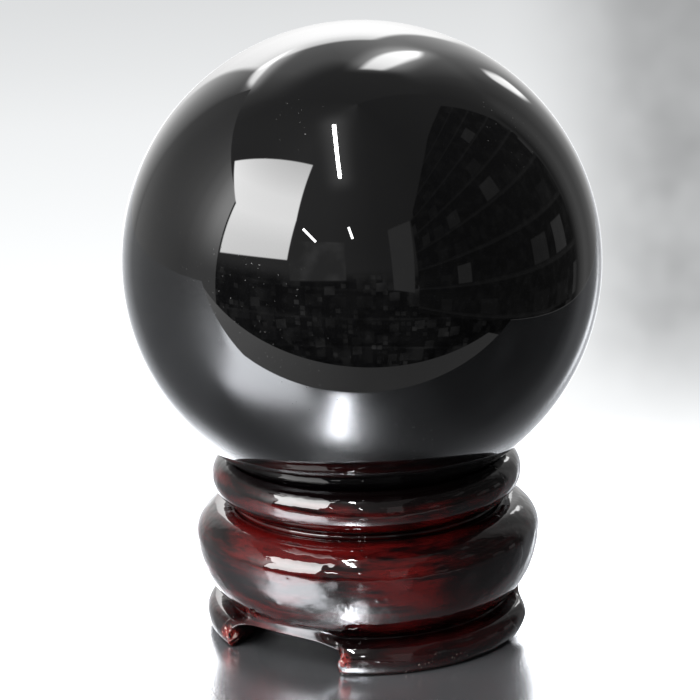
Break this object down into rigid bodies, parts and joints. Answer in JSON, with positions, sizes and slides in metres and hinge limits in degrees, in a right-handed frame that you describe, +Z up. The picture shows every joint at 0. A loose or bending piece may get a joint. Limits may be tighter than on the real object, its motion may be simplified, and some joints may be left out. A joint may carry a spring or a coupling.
{
  "type": "crystal ball",
  "caption": "Polished opaque black sphere resting in the dished lip of a turned, lacquered wooden stand with carved arches between its feet.",
  "frame": {"origin": "on the table under the centre of the stand, at the bottom centre of the whole object", "axes": "+Z up along the axis of the stand and the ball, -Y towards the front foot, +X to the right seen from the front"},
  "size_m": [0.1, 0.1, 0.1285],
  "materials": {
    "black_crystal": "opaque black crystal, polished to a mirror",
    "lacquered_wood": "dark red stain under thick glossy lacquer, blackened in streaks"
  },
  "bodies": {
    "stand": {"stand": "lacquered_wood"},
    "ball": {"crystal_ball": "black_crystal"}
  },
  "joints": [
    {"name": "ball_lift", "type": "slide", "parent": "stand", "child": "ball", "axis": [0, 0, 1], "range_m": [0, 0.12]}
  ]
}
